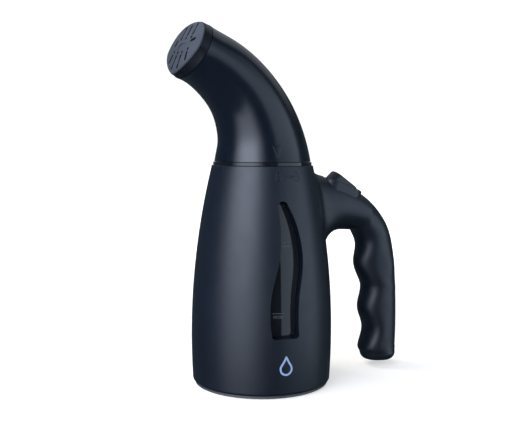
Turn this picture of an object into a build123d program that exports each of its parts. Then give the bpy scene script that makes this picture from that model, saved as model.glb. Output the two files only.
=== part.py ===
from build123d import *
import os
from math import atan2, cos, degrees, pi, radians, sin, sqrt, tan

# Hand-held garment steamer. Millimetres. Origin: centre of the resting face.
# +Z up, -X the steam nozzle, +X the handle, -Y the side with the water window.

# ---- driving dimensions: body ----
BASE_R = 46.9            # base cover at the resting plane
BASE_TOP_Z = 2.2         # visible edge of the base cover
BODY_BOTTOM_Z = 2.5
BODY_TOP_Z = 153.0
BELLY_R = 49.35          # widest radius of the barrel
BELLY_Z = 35.0           # height of the widest radius
BELLY_ARC = 502.0        # radius of the barrel's side line
BOTTOM_ROUND = 1.6
TOP_ROUND = 0.6
WALL = 2.4
WINDOW_TURN = 9.0        # the window faces this far from -Y towards the nozzle
WINDOW_LIP = 1.8         # wall of the shell around the window, inside
RECESS = 6.0             # tank surface lies this far inside the barrel's surface
PAD_TOP_Z = 1.6
PAD_R = 36.0

# ---- water tank and bayonet neck ----
TANK_BOTTOM_Z = 30.0
TANK_WALL = 2.0
TANK_FLAT_X = 33.0       # flat side that leaves a channel for the leads
TANK_SHOULDER_Z = 131.0
TANK_NECK_Z = 139.0
TANK_TOP_Z = 148.5
NECK_R = 29.4
MOUTH_R = 27.4
COLLAR_R = 32.2
FLANGE_R = 34.3          # visible seam ring between barrel and nozzle
COLLAR_LIP_Z = 152.0
COLLAR_TOP_Z = 155.3
COLLAR_BORE_R = 27.2
BAYONET_R = 30.4
LUGS = 3
LUG_ANGLE = 16.0
GATE_ANGLE = 18.6
TWIST = 21.0             # from locked to free

# ---- nozzle ----
NOZZLE_Z = 155.7
NOZZLE_R = 33.6
NOZZLE_STRAIGHT = 5.3
NOZZLE_BEND_R = 65.7
NOZZLE_LEAN = 1.9        # the bend's middle line lies this far inside a true arc
HEAD_TILT = 24.7         # steam face looks this far above the horizontal
HEAD_LENGTH = 22.7       # straight run from the bend to the steam face
HEAD_P = 19.7            # half height of the head, in the plane of the bend
HEAD_RISE = 0.8          # the head's middle lies this far above the steam plate's
HEAD_Q = 27.6            # half width of the head, across it
BEND_TURNS = (0, 14, 30, 46, 90 - HEAD_TILT)
BEND_P = (32.7, 29.1, 25.6, 22.8, 20.4)    # half heights of the bend's sections
BEND_Q = (32.4, 30.1, 29.0, 28.4, 27.9)    # half widths of the bend's sections
NOZZLE_WALL = 2.2
RING_LENGTH = 5.7
PLATE_P = 18.7
PLATE_Q = 26.6
PLATE_DOME = 1.6         # height of the steam plate's crown
PLATE_EDGE = 0.6
PLATE_SQUARE = 0.66      # fullness of its upper corners
PLATE_SIDE = 0.34        # how far its sides run straight before they turn to the lower tip
PLATE_TIP = 0.26         # how broad the lower tip is
SLOT_W = 1.5
SLOT_PITCH = 8.7
DIMPLE = (3.2, 8.5)      # half sizes of the shallow oval in the middle of the plate

# ---- handle ----
GRIP_OUTER_X = 115.1
GRIP_OUTER_Z = 34.0      # height at which the grip stands out furthest
GRIP_OUTER_ARC = 380.0
GRIP_INNER_X = 87.2
GRIP_LEAN = 6.0          # the finger side leans this far towards the body at the top
GRIP_SIDE_X = 99.6       # line of greatest width
GRIP_HALF_W = 13.0
GROOVE_PITCH = 32.5
GROOVE_DEPTH = 2.3       # half of the finger wave's height
GROOVE_Z = 12.4          # height of the lowest crest
GRIP_TOP_Z = 80.0
GRIP_END_Z = 4.3
HANDLE_WALL = 2.4
HANDLE_SCREWS = ((104.5, 28.0), (103.0, 74.0), (84.0, 118.5))
GROMMET_R = 5.0
LEAD_HOLE_Z = 109.2      # where the leads pass from the handle to the barrel
INLET_Z = 13.0
INLET_R = 3.3
END_ROUND = 5.5
SCREW_SEAT_Y = 8.6
GLAND_X = 103.0
GLAND_R = 5.8
GLAND_FACE_X = 113.4
CLAMP_X = 97.5           # bar that holds the cord inside the handle's end
CLAMP_Z = 16.6
CLAMP_SCREW_Y = 6.2

# ---- switch ----
SWITCH_X = 66.0
SWITCH_Z = 138.2
SWITCH_SLOPE = 20.0
ROCKER_FRONT = -14.2
ROCKER_REAR = 12.6
ROCKER_W = 12.6
ROCKER_SKIRT = 5.0
ROCKER_PEAK = (-10.2, 7.0)    # crest of the raised end, along and above the bezel
ROCKER_LOW_Z = 1.2            # height of the other end
ROCKER_CROWN_R = 40.0         # the top is rounded across by this radius
ROCKER_GAP = 0.55
PIVOT_DEPTH = 2.5
PIN_R = 1.1
BEZEL_DEPTH = 8.5
BEZEL_TOP = 4.2               # rim width around the rocker
BEZEL_FOOT = 5.0              # rim width where the bezel meets the handle
BEZEL_GAP = 0.35              # open seam between the bezel and the handle
BEZEL_HOLD = 0.5              # height of the bezel's foot that touches the handle
BEZEL_ROUND = 0.8

# ---- heater ----
PLATE_Z = 29.0           # top of the heater plate, under the tank's flange
HEATER_R = 35.0
ELEMENT_R = 20.5
ELEMENT_TUBE_R = 3.2
LEAD_R = 1.1
FUSE_X = -13.5
FUSE_DROP = 2.75

BASE_SCREW_RING = 42.8
CLAMP_SCREW_RING = 37.0

HEAD_TURN = BEND_TURNS[-1]
HEAD_DIR = Vector(-cos(radians(HEAD_TILT)), 0, sin(radians(HEAD_TILT)))
HEAD_UP = Vector(sin(radians(HEAD_TILT)), 0, cos(radians(HEAD_TILT)))


def barrel_radius(z, inset=0.0):
    """Radius of the barrel's side line at height z."""
    return BELLY_R - BELLY_ARC + sqrt(BELLY_ARC**2 - (z - BELLY_Z)**2) - inset


def barrel_solid(z0, z1, inset=0.0):
    """Solid of revolution under the barrel's side line."""
    low = (barrel_radius(z0, inset), z0)
    high = (barrel_radius(z1, inset), z1)
    middle = (barrel_radius((z0 + z1) / 2, inset), (z0 + z1) / 2)
    outline = Line((0, z0), low)
    outline += ThreePointArc(low, middle, high)
    outline += Polyline(high, (0, z1), (0, z0))
    return revolve(Plane.XZ * make_face(outline), Axis.Z)


def disc(r, z0, z1, x=0.0, y=0.0):
    return Pos(x, y, z0) * Cylinder(r, z1 - z0, align=(Align.CENTER, Align.CENTER, Align.MIN))


def ring(r_in, r_out, z0, z1):
    return disc(r_out, z0, z1) - disc(r_in, z0 - 1, z1 + 1)


def block(x0, x1, y0, y1, z0, z1):
    return Pos((x0 + x1) / 2, (y0 + y1) / 2, (z0 + z1) / 2) * Box(x1 - x0, y1 - y0, z1 - z0)


def around(count, radius, start=0.0):
    """Points spread evenly on a circle."""
    angles = [radians(start + 360 * i / count) for i in range(count)]
    return [(radius * cos(a), radius * sin(a)) for a in angles]


def sector(r_in, r_out, z0, z1, angle, width):
    """Arc-shaped block centred on an angle, in degrees."""
    reach = 2 * r_out
    spread = reach * tan(radians(width / 2))
    wedge = Polyline((0, 0), (reach, -spread), (reach, spread), close=True)
    prism = Pos(0, 0, z0) * extrude(make_face(wedge), z1 - z0)
    return ring(r_in, r_out, z0, z1) & (Rot(0, 0, angle) * prism)


def screw(x, y, head_z, length, head_r=2.6, shank_r=1.45, up=True):
    """Pan-head screw whose head rests on head_z, with a cross recess."""
    way = 1 if up else -1
    head = Pos(0, 0, -0.9) * Cylinder(head_r, 1.8)
    head = fillet(head.edges().filter_by(GeomType.CIRCLE).sort_by(Axis.Z)[:1], 0.7)
    shank = Cylinder(shank_r, length, align=(Align.CENTER, Align.CENTER, Align.MIN))
    cross = Pos(0, 0, -1.5) * (Box(2.6, 0.6, 1.0) + Box(0.6, 2.6, 1.0))
    one = head + shank - cross
    return Pos(x, y, head_z) * (one if way > 0 else Rot(180, 0, 0) * one)


# ---- screws ----
PILOT_R = 1.5
CLEAR_R = 1.7
SINK_R = 3.0

BASE_SCREW_AT = around(4, BASE_SCREW_RING, 45)
NECK_SCREW_AT = around(3, 27.6, 60)
CLAMP_SCREW_AT = [at for at in around(6, CLAMP_SCREW_RING, 30) if at[0] < 30]


# ---------------------------------------------------------------- body shell
def window_prism(grow=0.0):
    """Prism of the water window's outline, cut radially near the -Y side."""
    g = grow
    left = Spline(
        (-3.1 - g, 127.0), (-1.9 - g, 112.0), (-3.6 - g, 91.0), (-9.0 - g, 70.5),
        (-10.3 - g, 56.0), (-8.9 - g, 40.4 - g),
    )
    bottom = Line((-8.9 - g, 40.4 - g), (9.9 + g, 40.4 - g))
    right = Spline(
        (9.9 + g, 40.4 - g), (9.3 + g, 54.0), (10.3 + g, 69.0), (13.4 + g, 88.0),
        (12.6 + g, 103.0), (8.0 + g, 119.5), (4.3 + g, 127.0),
    )
    top = ThreePointArc((4.3 + g, 127.0), (0.8, 130.2 + g), (-3.1 - g, 127.0))
    face = make_face(left + bottom + right + top)
    face = fillet(face.vertices().sort_by(Axis.Y)[:2], 2.2 + g)
    turn = radians(WINDOW_TURN)
    facing = Plane(
        origin=(0, 0, 0), x_dir=(cos(turn), -sin(turn), 0), z_dir=(-sin(turn), -cos(turn), 0)
    )
    return extrude(facing * face, 70)


def make_barrel():
    outer = barrel_solid(BODY_BOTTOM_Z, BODY_TOP_Z)
    outer = fillet(outer.edges().filter_by(GeomType.CIRCLE).sort_by(Axis.Z)[-1:], TOP_ROUND)
    outer = fillet(outer.edges().filter_by(GeomType.CIRCLE).sort_by(Axis.Z)[:1], BOTTOM_ROUND)
    shell = outer - barrel_solid(BODY_BOTTOM_Z - 1, BODY_TOP_Z + 1, WALL)
    shell -= Pos(BELLY_R, 0, LEAD_HOLE_Z) * Rot(0, 90, 0) * Cylinder(GROMMET_R, BELLY_R)
    lip = window_prism(WINDOW_LIP) & barrel_solid(BODY_BOTTOM_Z, BODY_TOP_Z, WALL / 2)
    shell += lip - barrel_solid(BODY_BOTTOM_Z - 1, BODY_TOP_Z + 1, RECESS - 0.4)
    shell -= window_prism()
    for x, y in BASE_SCREW_AT:
        shell += disc(4.0, BASE_TOP_Z + 3.4, 14.0, x, y) - disc(PILOT_R, BASE_TOP_Z, 13.0, x, y)
    return shell


def make_base_cover():
    cover = disc(BASE_R, 0.4, BASE_TOP_Z)
    cover = fillet(cover.edges().sort_by(Axis.Z)[:1], 0.7)
    cover += ring(BASE_R - 6.2, barrel_radius(4, WALL) - 0.1, BASE_TOP_Z, BASE_TOP_Z + 3.2)
    cover += disc(BASE_R - 6.2, BASE_TOP_Z, BASE_TOP_Z + 1.2)
    cover -= disc(PAD_R + 0.2, 0, PAD_TOP_Z)
    for x, y in BASE_SCREW_AT:
        cover -= disc(SINK_R, -1, BASE_TOP_Z + 1.6, x, y)
        cover -= disc(CLEAR_R, -1, BASE_TOP_Z + 4, x, y)
    return cover


def make_base_pad():
    pad = disc(PAD_R, 0, PAD_TOP_Z)
    for r in (30.0, 22.0):
        pad -= ring(r, r + 1.2, -1, 0.5)
    return pad


# ---------------------------------------------------------------- water tank
def tank_body(inset):
    """Outer or inner volume of the tank, without its neck."""
    low = TANK_BOTTOM_Z + (inset if inset else 0)
    body = barrel_solid(low, TANK_SHOULDER_Z, RECESS + inset)
    r_top = barrel_radius(TANK_SHOULDER_Z, RECESS + inset)
    neck_low = NECK_R - inset
    cone = Pos(0, 0, TANK_SHOULDER_Z) * Cone(
        r_top, neck_low, TANK_NECK_Z - TANK_SHOULDER_Z, align=(Align.CENTER, Align.CENTER, Align.MIN)
    )
    body += cone
    flat = TANK_FLAT_X - inset
    return body & block(-60, flat, -60, 60, 0, 200)


def make_tank():
    tank = tank_body(0) + disc(NECK_R, TANK_NECK_Z - 1, TANK_TOP_Z)
    tank -= tank_body(TANK_WALL)
    tank -= disc(MOUTH_R, TANK_NECK_Z - 2, TANK_TOP_Z + 1)
    tank -= disc(HEATER_R - 6, TANK_BOTTOM_Z - 1, TANK_BOTTOM_Z + 5)
    for x, y in CLAMP_SCREW_AT:
        tank -= disc(PILOT_R, TANK_BOTTOM_Z - 1, TANK_BOTTOM_Z + 1.4, x, y)
    return tank


def make_tank_collar():
    collar = ring(NECK_R + 0.05, COLLAR_R, TANK_NECK_Z + 2.5, COLLAR_TOP_Z)
    collar += ring(COLLAR_BORE_R, COLLAR_R, COLLAR_LIP_Z, COLLAR_TOP_Z)
    collar += ring(BAYONET_R, FLANGE_R, BODY_TOP_Z + 0.2, COLLAR_TOP_Z)
    collar -= ring(COLLAR_BORE_R - 1, BAYONET_R, TANK_TOP_Z, COLLAR_LIP_Z)
    low, high = COLLAR_LIP_Z - 1, COLLAR_TOP_Z + 1
    for i in range(LUGS):
        gate = sector(COLLAR_BORE_R - 1, BAYONET_R, low, high, 120 * i + TWIST, GATE_ANGLE)
        collar -= gate
    return collar


# ---------------------------------------------------------------- heater
def make_heater_plate():
    plate = disc(HEATER_R, PLATE_Z - 1.6, PLATE_Z)
    well = disc(HEATER_R - 8, PLATE_Z - 0.6, PLATE_Z + 1)
    return plate - well


def make_heater_gasket():
    return ring(HEATER_R - 5.5, HEATER_R, PLATE_Z, TANK_BOTTOM_Z)


def make_clamp_ring():
    clamp = ring(HEATER_R - 4, HEATER_R + 4.6, PLATE_Z - 4.6, PLATE_Z - 1.6)
    clamp += ring(HEATER_R + 0.2, HEATER_R + 4.6, PLATE_Z - 1.6, TANK_BOTTOM_Z)
    clamp &= block(-60, TANK_FLAT_X + 1, -60, 60, 0, 60)
    for x, y in CLAMP_SCREW_AT:
        clamp -= disc(CLEAR_R, 0, 60, x, y)
    return clamp


def element_path_solid():
    """Open ring of tube with two legs that turn down to the terminals."""
    z = PLATE_Z - 1.6 - 4.8
    gap = 28.0
    tube = Pos(ELEMENT_R, 0, z) * Rot(90, 0, 0) * Circle(ELEMENT_TUBE_R)
    tube = Rot(0, 0, gap) * tube
    body = revolve(tube, Axis.Z, 360 - 2 * gap)
    for angle in (gap, -gap):
        x = ELEMENT_R * cos(radians(angle))
        y = ELEMENT_R * sin(radians(angle))
        body += Pos(x, y, z) * Sphere(ELEMENT_TUBE_R)
        body += disc(ELEMENT_TUBE_R, z - 6, z, x, y)
    return body


def make_diffuser():
    top = PLATE_Z - 1.6
    return disc(HEATER_R - 8.5, top - 3.2, top) - element_path_solid()


def make_element_terminals():
    tabs = []
    for angle in (28.0, -28.0):
        x = ELEMENT_R * cos(radians(angle))
        y = ELEMENT_R * sin(radians(angle))
        tabs.append(block(x - 3.1, x + 3.1, y - 0.4, y + 0.4, 10.6, 16.6))
    return tabs


def make_thermostat():
    top = PLATE_Z - 4.8
    body = disc(8.0, top - 3.6, top) + disc(7.4, top - 9.0, top - 3.6)
    for side in (-1, 1):
        body += block(side * 4.5 - 0.4, side * 4.5 + 0.4, -3.0, 3.0, top - 14.5, top - 9.0)
    return body


def make_thermal_fuse():
    fuse = Pos(FUSE_X, 0, PLATE_Z - 4.8 - FUSE_DROP) * Rot(90, 0, 0) * Cylinder(2.1, 11)
    return fillet(fuse.edges().filter_by(GeomType.CIRCLE), 0.5)


def make_fuse_clip():
    z = PLATE_Z - 4.8
    clip = Pos(FUSE_X, 0, z - FUSE_DROP) * Rot(90, 0, 0) * (Cylinder(2.7, 5) - Cylinder(2.15, 6))
    clip += block(FUSE_X - 0.6, -9.4, -2.5, 2.5, z - 0.6, z)
    return clip & block(-20, -9.4, -3, 3, 10, z)


# ---------------------------------------------------------------- nozzle
def bend_plane(turn):
    """Section plane of the nozzle after it has turned by an angle, in degrees."""
    a = radians(turn)
    z = NOZZLE_Z + NOZZLE_STRAIGHT + NOZZLE_BEND_R * sin(a)
    x = -NOZZLE_BEND_R * (1 - cos(a))
    inward = NOZZLE_LEAN * sin(pi * turn / HEAD_TURN)
    centre = (x - inward * cos(a), 0, z - inward * sin(a))
    return Plane(origin=centre, x_dir=(cos(a), 0, sin(a)), z_dir=(-sin(a), 0, cos(a)))


FACE = Plane(
    origin=bend_plane(HEAD_TURN).origin + HEAD_DIR * HEAD_LENGTH, x_dir=HEAD_UP, z_dir=HEAD_DIR
)
HEAD = Plane(origin=FACE.origin + HEAD_UP * HEAD_RISE, x_dir=HEAD_UP, z_dir=HEAD_DIR)


def nozzle_loft(inset_low, inset_high, back=RING_LENGTH + 0.4):
    """Bent nozzle volume; its inset grows evenly from the neck to the head."""
    bend = [bend_plane(turn) for turn in BEND_TURNS]
    planes = [Plane.XY.offset(NOZZLE_Z)] + bend + [HEAD.offset(-back)]
    sizes = [(NOZZLE_R, NOZZLE_R)] + list(zip(BEND_P, BEND_Q)) + [(HEAD_P, HEAD_Q)]
    last = len(planes) - 1
    sections = []
    for i, (plane, (p, q)) in enumerate(zip(planes, sizes)):
        inset = inset_low + (inset_high - inset_low) * i / last
        sections.append(plane * Ellipse(p - inset, q - inset))
    return loft(sections)


def make_nozzle_shell():
    outer = nozzle_loft(0, 0)
    shell = outer - nozzle_loft(NOZZLE_WALL, NOZZLE_WALL)
    for x, y in NECK_SCREW_AT:
        boss = disc(2.9, NOZZLE_Z + 3.7, NOZZLE_Z + 12, x, y)
        shell += boss & nozzle_loft(NOZZLE_WALL / 2, NOZZLE_WALL / 2)
        shell -= disc(PILOT_R, NOZZLE_Z + 1, NOZZLE_Z + 10.5, x, y)
    return shell


def make_nozzle_collar():
    floor_z = COLLAR_TOP_Z + 0.7
    collar = ring(22.6, 26.3, 142.8, floor_z + 3.4)
    collar += ring(22.6, 30.2, floor_z, floor_z + 3.4)
    collar += ring(21.4, 23.0, 148.6, 149.8)
    collar -= ring(24.6, 28.0, 144.4, 147.4)
    for i in range(LUGS):
        collar += sector(26.0, 29.6, TANK_TOP_Z + 0.7, COLLAR_LIP_Z - 0.4, 120 * i, LUG_ANGLE)
    for x, y in NECK_SCREW_AT:
        collar -= disc(CLEAR_R, floor_z - 1, floor_z + 5, x, y)
        collar -= disc(2.9, floor_z - 1, floor_z + 2.0, x, y)
    return collar


def make_neck_seal():
    return Pos(0, 0, 145.9) * Torus(25.95, 1.3)


def make_splash_baffle():
    baffle = disc(22.4, 149.8, 151.0)
    for count, r in ((6, 8.0), (12, 15.5)):
        for x, y in around(count, r):
            baffle -= disc(1.7, 149, 152, x, y)
    return baffle


def make_steam_duct():
    low = COLLAR_TOP_Z + 4.2
    outer = nozzle_loft(8.6, 3.8, RING_LENGTH + 3.6)
    inner = nozzle_loft(9.8, 5.0, RING_LENGTH + 3.6)
    return (outer - inner) & block(-100, 100, -60, 60, low, 300)


def oval_outline(p, q):
    """Ellipse in quarters, so that it lofts onto the plate's outline."""
    quarters = [EllipticalCenterArc((0, 0), p, q, start, arc_size=90) for start in (0, 90, 180, 270)]
    return make_face(Curve(quarters))


def plate_outline(shrink=0.0):
    """Outline of the steam plate: full above, narrower towards its lower tip."""
    p = PLATE_P - shrink
    q = PLATE_Q - shrink
    full = PLATE_SQUARE
    quarters = [
        Bezier((p, 0), (p, full * q), (full * p, q), (0, q)),
        Bezier((0, q), (-PLATE_SIDE * p, q), (-p, PLATE_TIP * q), (-p, 0)),
        Bezier((-p, 0), (-p, -PLATE_TIP * q), (-PLATE_SIDE * p, -q), (0, -q)),
        Bezier((0, -q), (full * p, -q), (p, -full * q), (p, 0)),
    ]
    return make_face(Curve(quarters))


def make_head_ring():
    back = HEAD.offset(-RING_LENGTH) * oval_outline(HEAD_P - 0.15, HEAD_Q - 0.15)
    front = FACE.offset(-0.3) * plate_outline(-0.5)
    body = loft([back, front])
    spigot = extrude(HEAD.offset(-RING_LENGTH - 3.2) * Ellipse(HEAD_P - 3.1, HEAD_Q - 3.1), 3.3)
    hole = extrude(FACE.offset(-RING_LENGTH) * plate_outline(3.0), RING_LENGTH + 2)
    hole += extrude(HEAD.offset(-RING_LENGTH - 4) * Ellipse(HEAD_P - 4.5, HEAD_Q - 4.5), 5.5)
    return body + spigot - hole


def make_steam_plate():
    crown_r = PLATE_Q**2 / 2 / (PLATE_DOME - PLATE_EDGE)
    dome = scale(Sphere(crown_r), by=(PLATE_P / PLATE_Q, 1, 1))
    dome = FACE.offset(PLATE_DOME - crown_r) * dome
    plate = extrude(FACE.offset(-0.3) * plate_outline(), PLATE_DOME + 1) & dome
    plate += extrude(FACE.offset(-3.0) * (plate_outline(3.05) - plate_outline(4.2)), 2.8)
    plate -= extrude(FACE.offset(PLATE_DOME) * Ellipse(*DIMPLE), -0.5)
    for slot in plate_slots():
        plate -= extrude(FACE.offset(-1) * slot, PLATE_DOME + 2)
    return plate


def slot_between(start, end):
    """Slot between two points (up, across) of the plate."""
    length = sqrt((end[0] - start[0])**2 + (end[1] - start[1])**2)
    middle = ((start[0] + end[0]) / 2, (start[1] + end[1]) / 2)
    turn = degrees(atan2(end[1] - start[1], end[0] - start[0]))
    return Pos(*middle) * Rot(0, 0, turn) * SlotOverall(length + SLOT_W, SLOT_W)


def plate_slots():
    """Openings of the steam plate: three slots above, four fanned below, one at each side."""
    jet = Circle(SLOT_W / 2)
    slots = [slot_between((7.0, SLOT_PITCH), (15.6, SLOT_PITCH))]
    for across in (0, -SLOT_PITCH):
        slots.append(slot_between((9.4, across), (15.6 - 0.12 * across, across)))
        slots.append(Pos(6.6, across) * jet)
    for side in (-1, 1):
        slots.append(slot_between((-6.6, side * 3.9), (-14.6, side * 4.7)))
        slots.append(Pos(-3.9, side * 3.6) * jet)
        slots.append(slot_between((-5.0, side * 12.2), (-9.6, side * 13.6)))
        slots.append(Pos(-2.2, side * 11.4) * jet)
    slots.append(slot_between((2.9, 14.8), (6.0, 14.5)))
    slots.append(slot_between((3.9, -11.0), (4.6, -16.0)))
    return slots


# ---------------------------------------------------------------- handle
def grip_outer_x(z):
    return GRIP_OUTER_X - (z - GRIP_OUTER_Z)**2 / 2 / GRIP_OUTER_ARC


def grip_inner_x(z):
    """Finger side of the grip: a wave on a line that leans towards the body."""
    lean = GRIP_LEAN * (z / GRIP_TOP_Z)**3
    wave = GROOVE_DEPTH * cos(2 * pi * (z - GROOVE_Z) / GROOVE_PITCH)
    return GRIP_INNER_X - lean - wave


def handle_section(outer, inner, half_w, side_share, grow):
    """Section of the handle between its outer and inner lines, rounder where it is held."""
    span = Vector(outer[0] - inner[0], 0, outer[1] - inner[1])
    depth = span.length
    along = span.normalized()
    side = Vector(inner[0], 0, inner[1]) + span * side_share
    plane = Plane(origin=side, x_dir=along, z_dir=along.cross(Vector(0, 1, 0)))
    back = depth * (1 - side_share) + grow
    front = depth * side_share + grow
    outside = EllipticalCenterArc((0, 0), back, half_w + grow, -90, arc_size=180)
    inside = EllipticalCenterArc((0, 0), front, half_w + grow, 90, arc_size=180)
    return plane * make_face(outside + inside)


def handle_loft(grow=0.0, floor=0.0):
    """Whole handle volume, from inside the barrel's wall down to its free end."""
    root = (
        ((30.0, 152.0), (36.0, 78.0), 24.0),
        ((39.0, 149.3), (45.5, 87.5), 16.0),
        ((43.5, 146.6), (48.5, 94.5), 14.9),
        ((48.6, 145.1), (51.5, 99.3), 14.4),
        ((55.5, 143.0), (56.0, 103.3), 14.2),
        ((66.5, 138.8), (64.5, 105.3), 13.8),
        ((79.4, 133.0), (72.4, 104.8), 13.5),
        ((90.9, 124.9), (78.2, 101.6), 13.3),
        ((100.7, 114.4), (80.6, 96.6), 13.2),
        ((107.3, 102.9), (81.5, 92.0), 13.1),
        ((110.8, 91.0), (80.6, 86.4), 13.0),
    )
    sections = [handle_section(o, i, w, 0.5, grow) for o, i, w in root]
    z = GRIP_TOP_Z
    while z > GRIP_END_Z + floor + 4:
        sections.append(grip_section(z, grow))
        z -= GROOVE_PITCH / 4
    sections.append(grip_section(GRIP_END_Z + floor, grow))
    return loft(sections)


def grip_section(z, grow):
    outer = grip_outer_x(z)
    inner = grip_inner_x(z)
    share = (GRIP_SIDE_X - inner) / (outer - inner)
    return handle_section((outer, z), (inner, z), GRIP_HALF_W, share, grow)


def along_y(r, y0, y1, x, z):
    """Round bar across the handle."""
    return Pos(x, (y0 + y1) / 2, z) * Rot(90, 0, 0) * Cylinder(r, abs(y1 - y0))


def make_handle():
    """Both halves of the handle, split in the middle plane."""
    outer = handle_loft()
    outer = fillet(outer.edges().group_by(Axis.Z)[0], END_ROUND)
    hollow = handle_loft(-HANDLE_WALL, HANDLE_WALL)
    seam = loft([
        SWITCH.offset(BEZEL_HOLD - BEZEL_DEPTH) * pill(BEZEL_FOOT + BEZEL_GAP),
        SWITCH * pill(BEZEL_TOP + BEZEL_GAP),
    ])
    above = extrude(SWITCH * pill(BEZEL_TOP + BEZEL_GAP), 9)
    switch_space = bezel_envelope() + seam + above
    shell = outer - hollow - barrel_solid(0, 170) - switch_space
    for x, z in HANDLE_SCREWS:
        shell += along_y(3.2, -14, 14, x, z) & handle_loft(-HANDLE_WALL / 2, HANDLE_WALL / 2)
    for y in (-CLAMP_SCREW_Y, CLAMP_SCREW_Y):
        shell += disc(2.6, GRIP_END_Z + 1, CLAMP_Z, CLAMP_X, y)
        shell -= disc(PILOT_R, GRIP_END_Z + 3.4, CLAMP_Z + 1, CLAMP_X, y)
    shell -= along_x(GLAND_R, GLAND_X, GLAND_X + 30)
    for x, z in HANDLE_SCREWS:
        shell -= along_y(PILOT_R, -8.5, 0, x, z)
        shell -= along_y(CLEAR_R, 0, 20, x, z)
        shell -= along_y(SINK_R, SCREW_SEAT_Y, 20, x, z)
    left = shell & block(0, 130, -30, 0, 0, 170)
    right = shell & block(0, 130, 0, 30, 0, 170)
    return left, right


def make_handle_screws():
    one = Rot(-90, 0, 0) * screw(0, 0, 0, 14.0)
    return [Pos(x, SCREW_SEAT_Y, z) * (Rot(180, 0, 0) * one) for x, z in HANDLE_SCREWS]


def along_x(r, x0, x1):
    """Round bar along X at the height of the cord inlet."""
    return Pos((x0 + x1) / 2, 0, INLET_Z) * Rot(0, 90, 0) * Cylinder(r, x1 - x0)


def make_cord_gland():
    gland = along_x(GLAND_R, GLAND_X, GLAND_FACE_X)
    flange = along_x(GLAND_R - 0.6, GLAND_X - 2, GLAND_X)
    return gland + flange - along_x(INLET_R, GLAND_X - 10, GLAND_FACE_X + 10)


# ---------------------------------------------------------------- switch
SWITCH = Plane(
    origin=(SWITCH_X, 0, SWITCH_Z),
    x_dir=(cos(radians(SWITCH_SLOPE)), 0, -sin(radians(SWITCH_SLOPE))),
    z_dir=(sin(radians(SWITCH_SLOPE)), 0, cos(radians(SWITCH_SLOPE))),
)
ROCKER_MIDDLE = (ROCKER_FRONT + ROCKER_REAR) / 2


def pill(grow=0.0, front=ROCKER_FRONT):
    """Outline of the rocker with round ends, grown to make its bezel."""
    length = ROCKER_REAR - front
    outline = Pos((front + ROCKER_REAR) / 2, 0) * RectangleRounded(length, ROCKER_W, ROCKER_W * 0.49)
    return offset(outline, grow) if grow else outline


def bezel_envelope():
    return loft([SWITCH.offset(-BEZEL_DEPTH) * pill(BEZEL_FOOT), SWITCH * pill(BEZEL_TOP)])


def make_bezel():
    bezel = bezel_envelope()
    bezel = fillet(bezel.faces().sort_by(Axis.Z)[-1].edges(), BEZEL_ROUND)
    bezel -= extrude(SWITCH.offset(-BEZEL_DEPTH - 1) * pill(ROCKER_GAP), BEZEL_DEPTH + 2)
    return bezel - rocker_pin(0.0)


def rocker_pin(gap):
    centre = Pos(ROCKER_MIDDLE, 0, -PIVOT_DEPTH)
    return SWITCH * centre * Rot(90, 0, 0) * Cylinder(PIN_R + gap, ROCKER_W + 3.4)


def make_rocker():
    """Crowned wedge that stands up at the front while the switch is off."""
    peak_x, peak_z = ROCKER_PEAK
    lean = (peak_x - ROCKER_FRONT) / peak_z
    high = peak_z + 2
    skirt = extrude(SWITCH.offset(-ROCKER_SKIRT) * pill(), ROCKER_SKIRT)
    raised = loft([SWITCH * pill(), SWITCH.offset(high) * pill(front=ROCKER_FRONT + lean * high)])
    slope = degrees(atan2(peak_z - ROCKER_LOW_Z, ROCKER_REAR - peak_x))
    crown = Rot(0, 90, 0) * Cylinder(ROCKER_CROWN_R, 80)
    crown = SWITCH * Pos(peak_x, 0, peak_z) * Rot(0, slope, 0) * Pos(0, 0, -ROCKER_CROWN_R) * crown
    return ((skirt + raised) & crown) - rocker_pin(0.05)


def make_switch_body():
    low = SWITCH.offset(-BEZEL_DEPTH - 0.3)
    body = extrude(low * Pos(ROCKER_MIDDLE, 0) * Rectangle(27.0, 13.0), -8.5)
    for x in (-5.0, 3.0):
        tab = low.offset(-8.5) * Pos(ROCKER_MIDDLE + x, 0) * Rectangle(0.8, 5.0)
        body += extrude(tab, -3.5)
    return body


# ---------------------------------------------------------------- leads
def lead(points, name):
    """Insulated lead: straight runs joined by arcs as large as the runs allow."""
    knots = [Vector(*p) for p in points]
    radii = []
    for before, here, after in zip(knots, knots[1:], knots[2:]):
        turn = radians((here - before).get_angle(after - here))
        run = min((here - before).length, (after - here).length)
        radii.append(0.45 * run * cos(turn / 2) / sin(turn / 2))
    path = FilletPolyline(*points, radius=radii)
    section = Plane(origin=knots[0], z_dir=knots[1] - knots[0]) * Circle(LEAD_R)
    print(name, "bend radii", [round(r, 1) for r in radii])
    return sweep(section, path=path)


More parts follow.
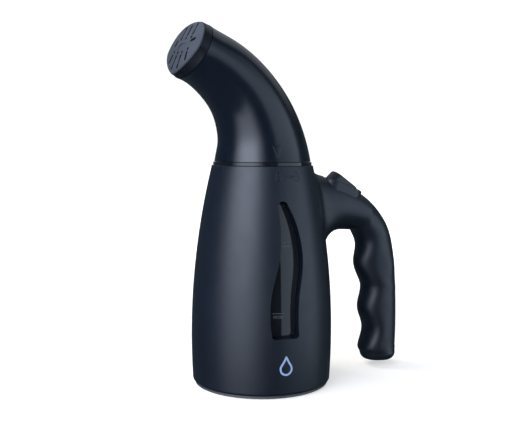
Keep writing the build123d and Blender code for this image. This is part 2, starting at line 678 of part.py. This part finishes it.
def make_leads():
    def in_handle(side):
        return [
            (93.6, side * 4.0, 20.5), (95.0, side * 5.0, 36.0), (93.6, side * 6.0, 56.0),
            (91.8, side * 6.0, 76.0), (89.8, side * 5.2, 94.0),
        ]

    def in_body(side):
        return [
            (55.5, side * 2.0, 112.2), (49.0, side * 2.0, 111.2), (42.5, side * 2.0, 109.7),
            (37.6, side * 2.2, 104.5), (37.2, side * 2.6, 96.0), (38.6, side * 3.2, 82.0),
            (40.4, side * 4.4, 61.0), (41.4, side * 5.5, 43.0), (40.0, side * 7.5, 28.5),
        ]

    neutral = in_handle(1) + [(82.6, 4.2, 107.0), (69.5, 2.8, 114.0)] + in_body(1)
    neutral += [(33.0, 9.2, 18.5), (21.6, 9.6, 13.8)]
    live = in_handle(-1) + [(82.6, -4.0, 107.4), (72.6, -2.5, 114.8)]
    switched = [(60.5, -2.2, 116.4)] + in_body(-1)
    switched += [(32.5, -6.5, 17.0), (20.0, -3.0, 10.5), (5.2, -0.5, 9.8)]
    return lead(live, "live"), lead(switched, "switched"), lead(neutral, "neutral")


def make_grommet():
    r = barrel_radius(LEAD_HOLE_Z)
    turn = Pos(r - WALL - 0.5, 0, LEAD_HOLE_Z) * Rot(0, 90, 0)
    base = (Align.CENTER, Align.CENTER, Align.MIN)
    grommet = turn * Cylinder(GROMMET_R, WALL + 1.4, align=base)
    grommet -= turn * Cylinder(4.4, 20)
    return grommet


def make_cord_clamp():
    bar = block(CLAMP_X - 2.5, CLAMP_X + 2.5, -8.6, 8.6, CLAMP_Z, CLAMP_Z + 2.4)
    bar = fillet(bar.edges().filter_by(Axis.Z), 1.5)
    for y in (-CLAMP_SCREW_Y, CLAMP_SCREW_Y):
        bar -= disc(CLEAR_R, CLAMP_Z - 1, CLAMP_Z + 4, CLAMP_X, y)
    return bar


def make_cord_clamp_screws():
    return [screw(CLAMP_X, y, CLAMP_Z + 2.4, 8.0, up=False) for y in (-CLAMP_SCREW_Y, CLAMP_SCREW_Y)]


NODES = {}


def keep(name, *solids):
    NODES[name] = Compound(label=name, children=list(solids)) if len(solids) > 1 else solids[0]


handle_left, handle_right = make_handle()
live_lead, switched_lead, neutral_lead = make_leads()
keep("barrel", make_barrel())
keep("handle_left", handle_left)
keep("handle_right", handle_right)
keep("handle_screws", *make_handle_screws())
keep("base_cover", make_base_cover())
keep("base_pad", make_base_pad())
keep("base_screws", *[screw(x, y, BASE_TOP_Z + 1.6, 8.0) for x, y in BASE_SCREW_AT])
keep("water_tank", make_tank())
keep("tank_collar", make_tank_collar())
keep("heater_plate", make_heater_plate())
keep("heater_gasket", make_heater_gasket())
keep("clamp_ring", make_clamp_ring())
keep("clamp_screws", *[screw(x, y, PLATE_Z - 4.6, 5.8) for x, y in CLAMP_SCREW_AT])
keep("heat_diffuser", make_diffuser())
keep("heating_element", element_path_solid())
keep("element_terminals", *make_element_terminals())
keep("thermostat", make_thermostat())
keep("thermal_fuse", make_thermal_fuse())
keep("fuse_clip", make_fuse_clip())
keep("nozzle_shell", make_nozzle_shell())
keep("nozzle_collar", make_nozzle_collar())
keep("neck_screws", *[screw(x, y, COLLAR_TOP_Z + 2.7, 7.4) for x, y in NECK_SCREW_AT])
keep("neck_seal", make_neck_seal())
keep("splash_baffle", make_splash_baffle())
keep("steam_duct", make_steam_duct())
keep("head_ring", make_head_ring())
keep("steam_plate", make_steam_plate())
keep("switch_bezel", make_bezel())
keep("switch_rocker", make_rocker())
keep("rocker_pin", rocker_pin(0.0))
keep("switch_body", make_switch_body())
keep("cord_gland", make_cord_gland())
keep("cord_clamp", make_cord_clamp())
keep("cord_clamp_screws", *make_cord_clamp_screws())
keep("lead_grommet", make_grommet())
keep("live_lead", live_lead)
keep("switched_lead", switched_lead)
keep("neutral_lead", neutral_lead)

os.makedirs("parts", exist_ok=True)
for name, shape in NODES.items():
    export_step(shape, f"parts/{name}.step")
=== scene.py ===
import math

import bmesh
import bpy
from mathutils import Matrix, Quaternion, Vector
from mathutils.bvhtree import BVHTree


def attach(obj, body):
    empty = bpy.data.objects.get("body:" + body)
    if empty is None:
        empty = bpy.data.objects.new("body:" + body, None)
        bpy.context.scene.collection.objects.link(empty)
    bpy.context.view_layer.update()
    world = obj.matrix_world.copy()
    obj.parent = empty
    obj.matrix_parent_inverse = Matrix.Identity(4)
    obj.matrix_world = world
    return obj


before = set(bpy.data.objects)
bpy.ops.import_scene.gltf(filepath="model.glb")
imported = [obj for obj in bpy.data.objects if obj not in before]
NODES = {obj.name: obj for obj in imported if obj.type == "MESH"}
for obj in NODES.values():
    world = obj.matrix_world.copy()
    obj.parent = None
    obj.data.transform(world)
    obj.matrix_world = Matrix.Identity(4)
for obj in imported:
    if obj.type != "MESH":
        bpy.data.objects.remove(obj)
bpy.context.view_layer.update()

MM = 0.001

# ------------------------------------------------------------------ camera
CAMERA_TURN = math.radians(28.0)      # round the body from its window side towards the nozzle
CAMERA_DISTANCE = 0.575               # level distance from the body's axis
EYE_HEIGHT = 0.1662
PITCH = math.radians(4.476)
YAW = math.radians(-0.146)
ROLL = math.radians(-0.33)
LENS = 56.87
SENSOR = 36.0


def make_camera():
    camera = bpy.data.objects.new("camera", bpy.data.cameras.new("camera"))
    bpy.context.scene.collection.objects.link(camera)
    ahead = Vector((math.sin(CAMERA_TURN), math.cos(CAMERA_TURN), 0))
    right = Vector((math.cos(CAMERA_TURN), -math.sin(CAMERA_TURN), 0))
    camera.location = (-CAMERA_DISTANCE * ahead.x, -CAMERA_DISTANCE * ahead.y, EYE_HEIGHT)
    level = ahead * math.cos(YAW) + right * math.sin(YAW)
    look = level * math.cos(PITCH) - Vector((0, 0, math.sin(PITCH)))
    camera.rotation_mode = "QUATERNION"
    camera.rotation_quaternion = Quaternion(look, ROLL) @ look.to_track_quat("-Z", "Y")
    camera.data.sensor_width = SENSOR
    camera.data.lens = LENS
    camera.data.clip_start = 0.01
    camera.data.clip_end = 50.0
    bpy.context.scene.camera = camera


# --------------------------------------------------------------- materials
NOISE_LOW, NOISE_HIGH = 0.3, 0.7      # the range that nearly all of a noise lies in
PLASTIC_IOR = 1.5
METAL_VARY = 0.08


def new_material(name):
    """A material with its tree, its shader and the object's own coordinates."""
    material = bpy.data.materials.new(name)
    material.use_nodes = True
    tree = material.node_tree
    shader = next(n for n in tree.nodes if n.type == "BSDF_PRINCIPLED")
    place = tree.nodes.new("ShaderNodeTexCoord")
    return material, tree, shader, place.outputs["Object"]


def noise(tree, at, size, detail=3.0, stretch=None):
    """Noise whose features are about size metres across."""
    if stretch:
        mapping = tree.nodes.new("ShaderNodeMapping")
        mapping.inputs["Scale"].default_value = stretch
        tree.links.new(at, mapping.inputs["Vector"])
        at = mapping.outputs["Vector"]
    node = tree.nodes.new("ShaderNodeTexNoise")
    node.inputs["Scale"].default_value = 1 / size
    node.inputs["Detail"].default_value = detail
    node.inputs["Roughness"].default_value = 0.55
    tree.links.new(at, node.inputs["Vector"])
    return node.outputs["Fac"]


def spread(tree, value, low, high, socket):
    """Send noise to a socket as values between low and high."""
    node = tree.nodes.new("ShaderNodeMapRange")
    node.inputs["From Min"].default_value = NOISE_LOW
    node.inputs["From Max"].default_value = NOISE_HIGH
    node.inputs["To Min"].default_value = low
    node.inputs["To Max"].default_value = high
    tree.links.new(value, node.inputs["Value"])
    tree.links.new(node.outputs["Result"], socket)


def shades(tree, value, dark, light, socket):
    """Send noise to a colour socket as shades between dark and light."""
    ramp = tree.nodes.new("ShaderNodeValToRGB")
    for stop, position, colour in zip(ramp.color_ramp.elements, (NOISE_LOW, NOISE_HIGH), (dark, light)):
        stop.position = position
        stop.color = (*colour, 1)
    tree.links.new(value, ramp.inputs["Fac"])
    tree.links.new(ramp.outputs["Color"], socket)


def bump(tree, value, depth, shader, below=None):
    """Relief of the given depth on the shader, on top of the relief below."""
    node = tree.nodes.new("ShaderNodeBump")
    node.inputs["Distance"].default_value = depth
    tree.links.new(value, node.inputs["Height"])
    if below is not None:
        tree.links.new(below, node.inputs["Normal"])
    tree.links.new(node.outputs["Normal"], shader.inputs["Normal"])
    return node.outputs["Normal"]


def moulded(name, colour, vary=0.12, rough=(0.36, 0.42), grain=0.5 * MM, depth=0.012 * MM, specular=0.5):
    """Moulded plastic or rubber: a fine tool grain, faint flow marks, uneven gloss."""
    material, tree, shader, at = new_material(name)
    flow = noise(tree, at, 30 * MM, 2.0, (1.0, 1.0, 0.4))
    dark = tuple(c * (1 - vary) for c in colour)
    light = tuple(c * (1 + vary) for c in colour)
    shades(tree, flow, dark, light, shader.inputs["Base Color"])
    spread(tree, noise(tree, at, 9 * MM, 4.0), rough[0], rough[1], shader.inputs["Roughness"])
    long_wave = bump(tree, noise(tree, at, 14 * MM, 1.0), depth * 1.5, shader)
    bump(tree, noise(tree, at, grain, 2.0), depth, shader, long_wave)
    shader.inputs["IOR"].default_value = PLASTIC_IOR
    shader.inputs["Specular IOR Level"].default_value = specular
    return material


def brushed(name, colour, rough=(0.24, 0.4), along=(1.0, 14.0, 14.0), depth=0.01 * MM):
    """Metal with fine brush or tool lines."""
    material, tree, shader, at = new_material(name)
    lines = noise(tree, at, 2.4 * MM, 5.0, along)
    dark = tuple(c * (1 - METAL_VARY) for c in colour)
    light = tuple(c * (1 + METAL_VARY) for c in colour)
    shades(tree, lines, dark, light, shader.inputs["Base Color"])
    spread(tree, noise(tree, at, 6 * MM, 4.0), rough[0], rough[1], shader.inputs["Roughness"])
    bump(tree, lines, depth, shader)
    shader.inputs["Metallic"].default_value = 1.0
    return material


def plain_name(material):
    """The name without the number that Blender adds to one that is taken."""
    return material.name.split(".")[0]


def make_materials():
    plate_look = {"vary": 0.2, "rough": (0.42, 0.58), "grain": 0.35 * MM, "depth": 0.03 * MM}
    cast_look = {"rough": (0.4, 0.6), "along": (3.0, 3.0, 3.0), "depth": 0.03 * MM}
    made = [
        moulded("body_plastic", (0.0018, 0.0045, 0.0105), rough=(0.37, 0.43)),
        moulded("rocker_plastic", (0.0030, 0.0060, 0.0125), rough=(0.34, 0.42)),
        moulded("nozzle_plastic", (0.0014, 0.0034, 0.0082), rough=(0.22, 0.26), depth=0.005 * MM),
        moulded("trim_plastic", (0.0014, 0.0026, 0.0056), rough=(0.34, 0.42), specular=0.32),
        moulded("plate_grey", (0.038, 0.044, 0.058), **plate_look),
        # near-black painted shade for the steam slots, not a colour that the plate has
        moulded("slot_painted_shade", (0.0012, 0.0015, 0.0022), rough=(0.6, 0.75), specular=0.1),
        moulded("inner_plastic", (0.045, 0.045, 0.05), rough=(0.45, 0.6)),
        moulded("black_gloss", (0.004, 0.005, 0.007), rough=(0.07, 0.1), depth=0.002 * MM),
        moulded("tank_smoke", (0.004, 0.005, 0.0075), rough=(0.05, 0.08), depth=0.002 * MM),
        moulded("base_plastic", (0.055, 0.058, 0.066), rough=(0.42, 0.55)),
        moulded("rubber", (0.018, 0.018, 0.02), rough=(0.7, 0.85), grain=0.8 * MM, depth=0.04 * MM),
        moulded("silicone", (0.42, 0.42, 0.43), rough=(0.45, 0.6), grain=1.0 * MM),
        brushed("steel", (0.55, 0.55, 0.56)),
        brushed("stainless", (0.6, 0.6, 0.62), along=(1.0, 20.0, 1.0)),
        brushed("aluminium", (0.68, 0.69, 0.7), **cast_look),
        brushed("brass", (0.72, 0.55, 0.27)),
        moulded("lead_brown", (0.14, 0.06, 0.028), rough=(0.4, 0.5)),
        moulded("lead_blue", (0.03, 0.09, 0.33), rough=(0.4, 0.5)),
        moulded("print_blue", (0.20, 0.29, 0.48), vary=0.05, rough=(0.5, 0.6)),
        moulded("print_grey", (0.055, 0.06, 0.075), vary=0.05, rough=(0.5, 0.6)),
    ]
    return {plain_name(material): material for material in made}


MATERIALS = make_materials()


def paint(piece, name):
    piece.data.materials.clear()
    piece.data.materials.append(MATERIALS[name])


def paint_frame():
    """Each CAD node takes the material of its slot in the record."""
    for piece in NODES.values():
        paint(piece, plain_name(piece.data.materials[0]))


# ------------------------------------------------------------ mesh helpers
RAY_START = 0.3                       # outside the object, from where rays meet its outer face
STROKE_STEP = 0.6 * MM
STROKE_SUNK = 0.12 * MM               # how far a stroke's edges dip below the face
SHARPEST_MITRE = 0.5


def link_mesh(name, points, faces, smooth=True):
    """A new object of the given points and faces, with its normals outward."""
    mesh = bpy.data.meshes.new(name)
    mesh.from_pydata([tuple(p) for p in points], [], faces)
    mesh.validate()
    form = bmesh.new()
    form.from_mesh(mesh)
    bmesh.ops.recalc_face_normals(form, faces=form.faces)
    form.to_mesh(mesh)
    form.free()
    piece = bpy.data.objects.new(name, mesh)
    bpy.context.scene.collection.objects.link(piece)
    for polygon in mesh.polygons:
        polygon.use_smooth = smooth
    return piece


def surface_tree(node):
    """The faces of a CAD node, to cast rays at."""
    mesh = NODES[node].data
    return BVHTree.FromPolygons([v.co for v in mesh.vertices], [p.vertices for p in mesh.polygons])


def on_surface(tree, turn, z, lift):
    """Point on a node's outer face at an angle round the axis from -Y towards +X, raised by lift."""
    out = Vector((math.sin(turn), -math.cos(turn), 0))
    hit, normal, _, _ = tree.ray_cast(out * RAY_START + Vector((0, 0, z)), -out)
    if normal.dot(out) < 0:
        normal = -normal
    return hit + normal * lift


def rounded(points, closed, radius, steps=5):
    """A flat path with its corners rounded."""
    path = [Vector(p) for p in points]
    count = len(path)
    out = []
    for i, here in enumerate(path):
        if not closed and i in (0, count - 1):
            out.append(here)
            continue
        before, after = path[i - 1], path[(i + 1) % count]
        back = min(radius, (before - here).length * 0.45)
        ahead = min(radius, (after - here).length * 0.45)
        start = here + (before - here).normalized() * back
        end = here + (after - here).normalized() * ahead
        for k in range(steps + 1):
            t = k / steps
            out.append(start * (1 - t) ** 2 + here * 2 * t * (1 - t) + end * t * t)
    return out


def divided(path, closed, step):
    """The same path with points no further apart than step."""
    out = []
    ends = path[1:] + ([path[0]] if closed else [])
    for a, b in zip(path, ends):
        count = max(1, math.ceil((b - a).length / step))
        out += [a.lerp(b, k / count) for k in range(count)]
    if not closed:
        out.append(path[-1])
    return out


def sideways(path, closed, i):
    """Direction across a path at its point i, and how much wider a mitred corner is there."""
    here, count = path[i], len(path)
    ways = []
    if closed or i > 0:
        ways.append((here - path[i - 1]).normalized())
    if closed or i < count - 1:
        ways.append((path[(i + 1) % count] - here).normalized())
    way_in, way_out = ways[0], ways[-1]
    way = (way_in + way_out).normalized()
    side = Vector((-way.y, way.x))
    return side, 1 / max(SHARPEST_MITRE, side.dot(Vector((-way_in.y, way_in.x))))


def stroke(tree, turn, paths, width, height):
    """Points and faces of raised strokes; each path is (points, closed), across and up in millimetres."""
    points, faces = [], []
    rise = ((-0.5, -STROKE_SUNK), (-0.42, height * 0.7), (-0.25, height))
    profile = rise + tuple((-share, lift) for share, lift in reversed(rise))
    rows = len(profile)
    for path, closed in paths:
        path = divided([Vector(p) * MM for p in path], closed, STROKE_STEP)
        base = len(points)
        count = len(path)
        for i, here in enumerate(path):
            side, mitre = sideways(path, closed, i)
            for share, lift in profile:
                spot = here + side * (share * width * mitre)
                centre = on_surface(tree, turn, spot.y, 0)
                radius = Vector((centre.x, centre.y)).length
                points.append(on_surface(tree, turn + spot.x / radius, spot.y, lift))
        spans = count if closed else count - 1
        for i in range(spans):
            a, b = base + i * rows, base + ((i + 1) % count) * rows
            for k in range(rows - 1):
                faces.append((a + k, a + k + 1, b + k + 1, b + k))
            faces.append((a + rows - 1, a, b, b + rows - 1))
        if not closed:
            faces.append(tuple(base + k for k in range(rows)))
            faces.append(tuple(base + (count - 1) * rows + k for k in reversed(range(rows))))
    return points, faces


def mark(name, node, body, turn, paths, width, height, material, slot):
    """Strokes on a node's face at an angle in degrees round the axis, width and height in millimetres."""
    points, faces = stroke(surface_tree(node), math.radians(turn), paths, width * MM, height * MM)
    piece = link_mesh(name, points, faces)
    paint(piece, material)
    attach(piece, body)
    return piece


def arc(x, z, radius, start, end, steps=14):
    """Points of an arc between two angles in degrees."""
    turns = [math.radians(start + (end - start) * k / steps) for k in range(steps + 1)]
    return [(x + radius * math.cos(t), z + radius * math.sin(t)) for t in turns]


# ------------------------------------------------------------------- marks
def pointer_path(x, z_top, width, height):
    """Rounded triangle that points down."""
    corners = [(x - width / 2, z_top), (x + width / 2, z_top), (x, z_top - height)]
    return rounded(corners, True, 0.9)


def lock_paths(x, z, opened):
    """Padlock of a rounded body and its bow, which is turned up on one side when open."""
    half, deep, bow_r = 1.9, 2.9, 1.25
    body = rounded([(x - half, z - deep), (x + half, z - deep), (x + half, z), (x - half, z)], True, 0.6)
    lift = 0.9 if opened else 0.0
    foot = 1.3 if opened else 0.0
    bow = [(x - bow_r, z)] + arc(x, z + 1.1 + lift, bow_r, 180, 0) + [(x + bow_r, z + foot)]
    return [(body, True), (bow, False)]


def drop_path(x, z, radius, tip):
    """Outline of a water drop: a round bowl, and sides that curve up to a tip above its middle."""
    reach = math.degrees(math.acos(radius / tip)) - 6
    bowl = arc(x, z, radius, 90 + reach, 450 - reach, 26)
    shares = (0.25, 0.5, 0.75)

    def side(end):
        return [(x + (end[0] - x) * k, z + tip + (end[1] - z - tip) * k ** 0.86) for k in shares]

    return rounded([(x, z + tip)] + side(bowl[0]) + bowl + side(bowl[-1])[::-1], True, 0.35, 3)


# Strokes of the letters of MAX and MIN, for a letter one unit high, and each letter's share of a line
LETTERS = {
    "M": [[(0, 0), (0, 1), (0.4, 0.35), (0.8, 1), (0.8, 0)]],
    "A": [[(0, 0), (0.4, 1), (0.8, 0)], [(0.16, 0.36), (0.64, 0.36)]],
    "X": [[(0, 0), (0.75, 1)], [(0, 1), (0.75, 0)]],
    "I": [[(0.2, 0), (0.2, 1)]],
    "N": [[(0, 0), (0, 1), (0.7, 0), (0.7, 1)]],
}


ADVANCE = {"M": 1.15, "A": 1.1, "X": 1.05, "I": 0.7, "N": 1.0}
LETTER_GAP = 0.3
LEVEL_TEXT = 2.3                      # height of a level word
LEVEL_TEXT_X = 0.2
LEVEL_TEXT_DROP = 3.6                 # from a level line down to the foot of its word


def level_paths(word, left, right, z):
    """A level line with its word in plain strokes below it."""
    total = sum(ADVANCE[c] for c in word) - LETTER_GAP
    at = LEVEL_TEXT_X - total * LEVEL_TEXT / 2
    foot = z - LEVEL_TEXT_DROP
    paths = [([(left, z), (right, z)], False)]
    for c in word:
        for line in LETTERS[c]:
            paths.append(([(at + p[0] * LEVEL_TEXT, foot + p[1] * LEVEL_TEXT) for p in line], False))
        at += ADVANCE[c] * LEVEL_TEXT
    return paths


def turn_paths(z):
    """Arrow that points from the locked mark to the unlocked one."""
    shaft = [(-3.6, z), (3.6, z)]
    head = [(2.2, z + 1.2), (3.8, z), (2.2, z - 1.2)]
    return [(shaft, False), (head, False)]


def make_marks():
    pointer = [(pointer_path(0, 166.2, 6.0, 8.4), True)]
    drop = [(drop_path(0, 20.6, 3.9, 8.0), True)]
    locked, unlocked = lock_paths(0, 146.4, False), lock_paths(0, 146.4, True)
    level_max = level_paths("MAX", -4.2, 4.6, 103.0)
    level_min = level_paths("MIN", -4.0, 4.6, 56.4)
    glossy = ("nozzle_plastic", "nozzle_plastic")
    raised = ("body_plastic", "body_plastic")
    printed = ("print_grey", "tank_smoke")
    mark("nozzle_pointer", "nozzle_shell", "nozzle", -9.8, pointer, 0.8, 0.30, *glossy)
    mark("lock_mark", "barrel", "housing", -11.2, locked, 0.65, 0.28, *raised)
    mark("unlock_mark", "barrel", "housing", 9.8, unlocked, 0.65, 0.28, *raised)
    mark("turn_mark", "barrel", "housing", -0.6, turn_paths(146.2), 0.6, 0.26, *raised)
    mark("drop_emblem", "barrel", "housing", -8.4, drop, 1.5, 0.05, "print_blue", "body_plastic")
    mark("level_max", "water_tank", "housing", -6.0, level_max, 0.45, 0.06, *printed)
    mark("level_min", "water_tank", "housing", -13.6, level_min, 0.45, 0.06, *printed)


# ------------------------------------------------------------- steam slots and their painted shade
HEAD_TILT = math.radians(24.7)        # the steam face looks this far above the horizontal
PLATE_SIZE = (18.7 * MM, 26.6 * MM)   # half height and half width
PLATE_CROWN = (0.6 * MM, 1.6 * MM)    # height of the plate's face at its edge and in its middle
SKIRT_DEPTH = 3.0 * MM                # from the back of the plate's skirt to the plane of its face
SLOT_SHADE_WIDTH = 2.3 * MM                # width of the painted shade over each slot, wider than the 1.5 mm slots, which look too faint without it
SLOT_SHADE_LIFT = 0.04 * MM                # height of the painted slot shade's top above the face, and of its underside below it
SLOT_SHADE_END_STEPS = 8
SLOT_PITCH = 8.7


def slot_runs():
    """Ends of the steam plate's slots in millimetres, up and across; a round jet has both in one place."""
    runs = [((7.0, SLOT_PITCH), (15.6, SLOT_PITCH))]
    for across in (0, -SLOT_PITCH):
        runs.append(((9.4, across), (15.6 - 0.12 * across, across)))
        runs.append(((6.6, across), (6.6, across)))
    for side in (-1, 1):
        runs.append(((-6.6, side * 3.9), (-14.6, side * 4.7)))
        runs.append(((-3.9, side * 3.6), (-3.9, side * 3.6)))
        runs.append(((-5.0, side * 12.2), (-9.6, side * 13.6)))
        runs.append(((-2.2, side * 11.4), (-2.2, side * 11.4)))
    runs.append(((2.9, 14.8), (6.0, 14.5)))
    runs.append(((3.9, -11.0), (4.6, -16.0)))
    return runs


def make_painted_slot_shade():
    """Painted shade: dark strips over the slots, laid on the plate's face, standing in for the shade inside
    them.
    """
    up = Vector((math.sin(HEAD_TILT), 0, math.cos(HEAD_TILT)))
    out = Vector((-math.cos(HEAD_TILT), 0, math.sin(HEAD_TILT)))
    corners = [v.co for v in NODES["steam_plate"].data.vertices]
    rises = [c.dot(up) for c in corners]
    middle = (max(rises) + min(rises)) / 2
    base = min(c.dot(out) for c in corners) + SKIRT_DEPTH
    radius = SLOT_SHADE_WIDTH / 2
    points, faces = [], []
    for start, end in slot_runs():
        start, end = Vector(start) * MM, Vector(end) * MM
        way = end - start
        turn = math.atan2(way.y, way.x) if way.length else 0.0
        rim = []
        for centre, begin in ((end, -90), (start, 90)):
            for k in range(SLOT_SHADE_END_STEPS + 1):
                a = turn + math.radians(begin + 180 * k / SLOT_SHADE_END_STEPS)
                rim.append(centre + radius * Vector((math.cos(a), math.sin(a))))
        first = len(points)
        for low in (True, False):
            for spot in rim:
                fall = (spot.x / PLATE_SIZE[0]) ** 2 + (spot.y / PLATE_SIZE[1]) ** 2
                face = PLATE_CROWN[0] + (PLATE_CROWN[1] - PLATE_CROWN[0]) * (1 - fall)
                height = face - SLOT_SHADE_LIFT if low else face + SLOT_SHADE_LIFT
                points.append(up * (middle + spot.x) + Vector((0, spot.y, 0)) + out * (base + height))
        count = len(rim)
        faces.append(tuple(first + k for k in range(count)))
        faces.append(tuple(first + count + k for k in range(count)))
        for k in range(count):
            n = (k + 1) % count
            faces.append((first + k, first + n, first + count + n, first + count + k))
    # the strips are painted shade, a dark sheet where the slots only hold shade
    piece = link_mesh("painted_slot_shade", points, faces, smooth=False)
    paint(piece, "slot_painted_shade")
    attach(piece, "nozzle")


# ------------------------------------------------------------------ studio
def light_sheet(name, across, up, place, glow, colour, strength):
    """Light panel of across by up faces; place and glow give the point and brightness at shares s and t."""
    shares = [(i / across, j / up) for i in range(across + 1) for j in range(up + 1)]
    starts = [i * (up + 1) + j for i in range(across) for j in range(up)]
    faces = [(a, a + up + 1, a + up + 2, a + 1) for a in starts]
    piece = link_mesh(name, [place(s, t) for s, t in shares], faces)
    set_glow(piece, [glow(s, t) * strength for s, t in shares])
    light_up(piece, name, colour)
    piece.visible_camera = False
    piece.visible_shadow = False


def panel(name, radius, turn0, turn1, z0, z1, glow, colour, strength):
    """Light panel that curves round the object between two angles in degrees."""
    def place(s, t):
        turn = math.radians(turn0 + (turn1 - turn0) * s)
        return radius * math.sin(turn), -radius * math.cos(turn), z0 + (z1 - z0) * t

    light_sheet(name, 24, 12, place, glow, colour, strength)


def overhead(name, x0, x1, y0, y1, z, glow, colour, strength):
    """Level light panel above the object."""
    def place(s, t):
        return x0 + (x1 - x0) * s, y0 + (y1 - y0) * t, z

    light_sheet(name, 16, 16, place, glow, colour, strength)


def set_glow(piece, values):
    """Keep the brightness of each point in the attribute that the piece's material reads."""
    field = piece.data.attributes.new("glow", "FLOAT", "POINT")
    field.data.foreach_set("value", values)


def glow_socket(tree):
    read = tree.nodes.new("ShaderNodeAttribute")
    read.attribute_name = "glow"
    return read.outputs["Fac"]


def light_up(piece, name, colour):
    material = bpy.data.materials.new(name)
    material.use_nodes = True
    tree = material.node_tree
    tree.nodes.clear()
    light = tree.nodes.new("ShaderNodeEmission")
    light.inputs["Color"].default_value = (*colour, 1)
    out = tree.nodes.new("ShaderNodeOutputMaterial")
    tree.links.new(glow_socket(tree), light.inputs["Strength"])
    tree.links.new(light.outputs["Emission"], out.inputs["Surface"])
    piece.data.materials.append(material)


def smooth_step(low, high, value):
    """0 below low, 1 above high, and an even curve between."""
    t = min(1.0, max(0.0, (value - low) / (high - low)))
    return t * t * (3 - 2 * t)


FLOOR_REACH = 6.0
FLOOR_GLOW = (0.52, 0.5)              # near the object, and how much is added far from it
FLOOR_GLOW_FROM, FLOOR_GLOW_TO = 0.3, 0.9


def make_floor():
    """Round floor that glows more further out, so that it is white up to the horizon."""
    rings, spokes = 24, 64
    points, faces = [(0, 0, 0)], []
    for i in range(1, rings + 1):
        r = FLOOR_REACH * (i / rings) ** 2
        for k in range(spokes):
            a = 2 * math.pi * k / spokes
            points.append((r * math.cos(a), r * math.sin(a), 0))
    for k in range(spokes):
        faces.append((0, 1 + k, 1 + (k + 1) % spokes))
        for i in range(rings - 1):
            a = 1 + i * spokes
            faces.append((a + k, a + spokes + k, a + spokes + (k + 1) % spokes, a + (k + 1) % spokes))
    floor = link_mesh("floor", points, faces)
    material, tree, shader, at = new_material("floor")
    patches = noise(tree, at, 0.2, 2.0)
    shades(tree, patches, (0.84, 0.78, 0.71), (0.86, 0.80, 0.73), shader.inputs["Base Color"])
    shader.inputs["Roughness"].default_value = 0.9
    shader.inputs["Specular IOR Level"].default_value = 0.0
    shader.inputs["Emission Color"].default_value = (1, 1, 1, 1)
    near, more = FLOOR_GLOW
    outward = [math.hypot(v.co.x, v.co.y) for v in floor.data.vertices]
    set_glow(floor, [near + more * smooth_step(FLOOR_GLOW_FROM, FLOOR_GLOW_TO, r) for r in outward])
    tree.links.new(glow_socket(tree), shader.inputs["Emission Strength"])
    floor.data.materials.append(material)
    floor.visible_glossy = False


def make_world():
    """White where the camera looks past everything, and a dim blue room for every other ray."""
    world = bpy.data.worlds.new("studio")
    world.use_nodes = True
    bpy.context.scene.world = world
    tree = world.node_tree
    tree.nodes.clear()

    def background(colour, strength):
        node = tree.nodes.new("ShaderNodeBackground")
        node.inputs["Color"].default_value = (*colour, 1)
        node.inputs["Strength"].default_value = strength
        return node

    path = tree.nodes.new("ShaderNodeLightPath")
    room = background((0.62, 0.82, 1.0), 0.10)
    white = background((1, 1, 1), 1.05)
    mix = tree.nodes.new("ShaderNodeMixShader")
    out = tree.nodes.new("ShaderNodeOutputWorld")
    tree.links.new(path.outputs["Is Camera Ray"], mix.inputs["Fac"])
    tree.links.new(room.outputs["Background"], mix.inputs[1])
    tree.links.new(white.outputs["Background"], mix.inputs[2])
    tree.links.new(mix.outputs["Shader"], out.inputs["Surface"])


SUN_WAY = Vector((0.62, -0.42, -1.0))


def make_sun():
    """Broad soft sun, for the shadow at the lower right."""
    sun = bpy.data.objects.new("sun", bpy.data.lights.new("sun", "SUN"))
    bpy.context.scene.collection.objects.link(sun)
    sun.data.energy = 1.3
    sun.data.angle = math.radians(30)
    sun.rotation_euler = SUN_WAY.to_track_quat("-Z", "Y").to_euler()
    sun.visible_glossy = False


def left_glow(s, t):
    """Soft at both edges and dimmer towards the floor."""
    across = smooth_step(0.0, 0.4, s) * (1 - smooth_step(0.62, 1.0, s))
    return across * (0.35 + 0.65 * smooth_step(0.1, 0.7, t))


def right_glow(s, t):
    """Dimmer above, so that the bend of the nozzle stays dark."""
    return (0.6 + 0.4 * s) * (1 - 0.7 * smooth_step(0.45, 0.85, t))


def make_studio():
    make_floor()
    make_world()
    make_sun()
    panel("left_light", 1.0, -106, -19, -0.35, 1.1, left_glow, (0.76, 0.84, 1.0), 7.2)
    panel("right_light", 1.1, 8, 72, -0.3, 1.1, right_glow, (0.70, 0.84, 1.0), 1.95)
    panel("back_light", 1.2, 92, 212, 0.42, 1.6, lambda s, t: smooth_step(0, 0.3, t), (0.8, 0.9, 1.0), 0.5)
    overhead("top_light", -0.9, 0.9, -0.1, 1.2, 1.2, lambda s, t: 1.0, (0.85, 0.92, 1.0), 0.7)


make_camera()
paint_frame()
make_marks()
# painted shade over the steam slots
make_painted_slot_shade()
make_studio()
bpy.context.scene.view_settings.view_transform = "Standard"
bpy.context.scene.view_settings.look = "None"
